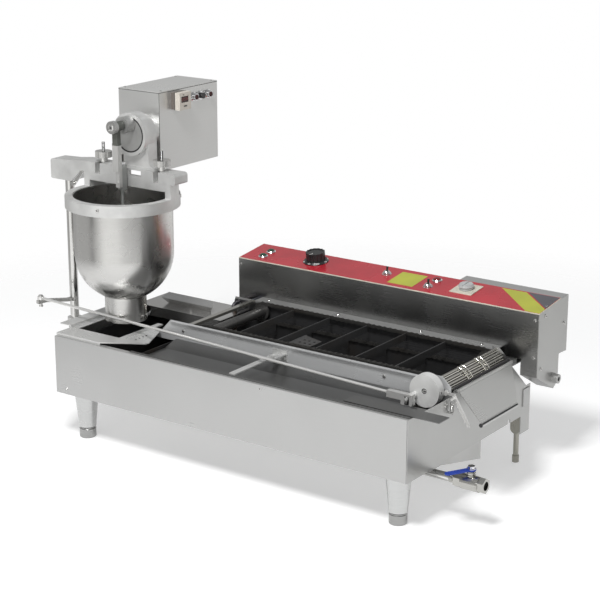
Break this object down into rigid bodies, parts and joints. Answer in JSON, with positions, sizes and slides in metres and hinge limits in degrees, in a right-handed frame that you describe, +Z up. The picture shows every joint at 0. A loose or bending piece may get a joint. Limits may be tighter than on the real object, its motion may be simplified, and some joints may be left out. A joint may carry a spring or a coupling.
{
  "type": "countertop ring donut fryer with depositor",
  "caption": "Countertop ring-batter fryer: hopper depositor on a post, open oil channel with a flight conveyor, sloping control panel, discharge chute and drain valve.",
  "frame": {"origin": "on the ground under the middle of the whole outline", "axes": "+X towards the discharge end, +Y towards the rear, +Z up"},
  "size_m": [1.097, 0.5202, 0.703],
  "materials": {
    "casing_steel": "satin stainless sheet",
    "tank_steel": "stained stainless sheet",
    "cast_aluminium": "sand cast, tumbled",
    "spun_aluminium": "spun and polished",
    "bright_steel": "bright turned steel",
    "leg_metal": "grey enamel",
    "rubber": "matt",
    "valve_metal": "nickel plated",
    "blue_lever": "blue dip coat",
    "black_front": "gloss black",
    "panel_film": "crimson film on steel",
    "black_plastic": "moulded",
    "grey_plastic": "moulded",
    "beige_plastic": "moulded",
    "red_plastic": "moulded",
    "motor_paint": "grey paint",
    "heater_sheath": "heat-tinted sheath"
  },
  "bodies": {
    "machine": {"outer_body": "casing_steel", "right_end_wall": "casing_steel", "oil_tank": "tank_steel", "deck_plate": "casing_steel", "rear_cover": "casing_steel", "drip_tray": "casing_steel", "rod_guide": "casing_steel", "front_legs": "leg_metal", "rear_legs": "casing_steel", "drain_pipe": "bright_steel", "valve_body": "valve_metal", "side_plate_front": "casing_steel", "side_plate_rear": "casing_steel", "frame_crossbars": "bright_steel", "conveyor_chains": "bright_steel", "conveyor_flights": "casing_steel", "shaft_bearings": "cast_aluminium", "pawl_spring": "bright_steel", "heating_element": "heater_sheath", "post_bracket": "cast_aluminium", "post_tube": "bright_steel", "hopper_holder": "cast_aluminium", "hopper": "spun_aluminium", "batter_cylinder": "spun_aluminium", "head_casting": "cast_aluminium", "head_box": "casing_steel", "head_box_lid": "casing_steel", "head_gearmotor": "motor_paint", "counter": "beige_plastic", "control_box": "black_front", "control_end_plate": "casing_steel", "rear_box": "casing_steel", "control_panel": "panel_film", "pilot_lamps": "bright_steel", "rear_shelf": "casing_steel", "fasteners": "bright_steel"},
    "left_foot": {"left_front_foot": "bright_steel"},
    "right_foot": {"right_front_foot": "bright_steel"},
    "drain_handle": {"valve_lever": "blue_lever"},
    "drive_shaft_body": {"drive_shaft": "bright_steel"},
    "idler_shaft_body": {"idler_shaft": "bright_steel"},
    "clutch": {"clutch_disc": "cast_aluminium"},
    "rocker": {"rock_shaft": "bright_steel", "lever_arm": "bright_steel"},
    "rod": {"push_rod": "bright_steel"},
    "pawl": {"drive_pawl": "bright_steel"},
    "chute": {"discharge_chute": "casing_steel"},
    "flip_plate": {"flipper": "casing_steel"},
    "plunger_body": {"plunger": "cast_aluminium"},
    "crank": {"crank_disc": "cast_aluminium"},
    "link": {"connecting_rod": "cast_aluminium"},
    "left_nut": {"left_clamp_nut": "bright_steel"},
    "right_nut": {"right_clamp_nut": "bright_steel"},
    "head_push": {"head_button": "black_plastic"},
    "thermostat_dial": {"thermostat_knob": "black_plastic"},
    "speed_dial": {"speed_knob": "grey_plastic"},
    "toggle_1": {"toggle_lever_1": "black_plastic"},
    "toggle_2": {"toggle_lever_2": "black_plastic"}
  },
  "joints": [
    {"name": "left_foot_screw", "type": "slide", "parent": "machine", "child": "left_foot", "axis": [0, 0, -1], "range_m": [0, 0.015]},
    {"name": "right_foot_screw", "type": "slide", "parent": "machine", "child": "right_foot", "axis": [0, 0, -1], "range_m": [0, 0.015]},
    {"name": "drain_turn", "type": "hinge", "parent": "machine", "child": "drain_handle", "pos_m": [0.5175, -0.1579, 0.1], "axis": [0, 0, 1], "range_deg": [-60, 30]},
    {"name": "drive_turn", "type": "hinge", "parent": "machine", "child": "drive_shaft_body", "pos_m": [0.3975, -0.0089, 0.2305], "axis": [0, 1, 0], "continuous": true},
    {"name": "idler_turn", "type": "hinge", "parent": "machine", "child": "idler_shaft_body", "pos_m": [-0.1445, -0.0089, 0.2305], "axis": [0, 1, 0], "continuous": true},
    {"name": "clutch_turn", "type": "hinge", "parent": "machine", "child": "clutch", "pos_m": [0.3975, -0.1189, 0.2305], "axis": [0, -1, 0], "range_deg": [0, 45]},
    {"name": "rocker_turn", "type": "hinge", "parent": "machine", "child": "rocker", "pos_m": [-0.5065, -0.0899, 0.245], "axis": [0, 0, 1], "range_deg": [0, 8.9]},
    {"name": "rod_swing", "type": "hinge", "parent": "rocker", "child": "rod", "pos_m": [-0.5224, -0.1754, 0.2629], "axis": [0, 0, 1], "range_deg": [-8.9, 0]},
    {"name": "pawl_lift", "type": "hinge", "parent": "machine", "child": "pawl", "pos_m": [0.4315, -0.1089, 0.228], "axis": [0, -1, 0], "range_deg": [0, 12]},
    {"name": "chute_lift", "type": "hinge", "parent": "machine", "child": "chute", "pos_m": [0.4485, 0.0071, 0.231], "axis": [0, -1, 0], "range_deg": [0, 90]},
    {"name": "flipper_turn", "type": "hinge", "parent": "machine", "child": "flip_plate", "pos_m": [0.0415, -0.0489, 0.237], "axis": [0, -1, 0], "range_deg": [0, 100]},
    {"name": "plunger_stroke", "type": "slide", "parent": "machine", "child": "plunger_body", "axis": [0, 0, -1], "range_m": [0, 0.044]},
    {"name": "crank_turn", "type": "hinge", "parent": "machine", "child": "crank", "pos_m": [-0.3305, -0.0939, 0.622], "axis": [0, 1, 0], "continuous": true},
    {"name": "link_turn", "type": "hinge", "parent": "crank", "child": "link", "pos_m": [-0.3305, -0.1379, 0.644], "axis": [0, 1, 0], "continuous": true},
    {"name": "left_nut_turn", "type": "hinge", "parent": "machine", "child": "left_nut", "pos_m": [-0.4085, -0.0899, 0.57], "axis": [0, 0, 1], "continuous": true},
    {"name": "right_nut_turn", "type": "hinge", "parent": "machine", "child": "right_nut", "pos_m": [-0.2525, -0.0899, 0.57], "axis": [0, 0, 1], "continuous": true},
    {"name": "head_push_travel", "type": "slide", "parent": "machine", "child": "head_push", "axis": [-1, 0, 0], "range_m": [0, 0.003], "stiffness_N_per_m": 300},
    {"name": "thermostat_turn", "type": "hinge", "parent": "machine", "child": "thermostat_dial", "pos_m": [-0.0681, 0.189, 0.33387], "axis": [0, -0.1227, 0.9924], "range_deg": [-270, 0]},
    {"name": "speed_turn", "type": "hinge", "parent": "machine", "child": "speed_dial", "pos_m": [0.3, 0.1871, 0.33363], "axis": [0, -0.1227, 0.9924], "range_deg": [-270, 0]},
    {"name": "toggle_1_flip", "type": "hinge", "parent": "machine", "child": "toggle_1", "pos_m": [0.109, 0.1906, 0.33407], "axis": [1, 0, 0], "range_deg": [0, 28]},
    {"name": "toggle_2_flip", "type": "hinge", "parent": "machine", "child": "toggle_2", "pos_m": [0.222, 0.1676, 0.33122], "axis": [1, 0, 0], "range_deg": [0, 28]}
  ],
  "couplings": [
    {"joint": "idler_turn", "follows": "drive_turn", "ratio": 1},
    {"joint": "clutch_turn", "follows": "rocker_turn", "ratio": 5.05},
    {"joint": "rod_swing", "follows": "rocker_turn", "ratio": -0.99},
    {"joint": "link_turn", "follows": "crank_turn", "ratio": -1}
  ]
}
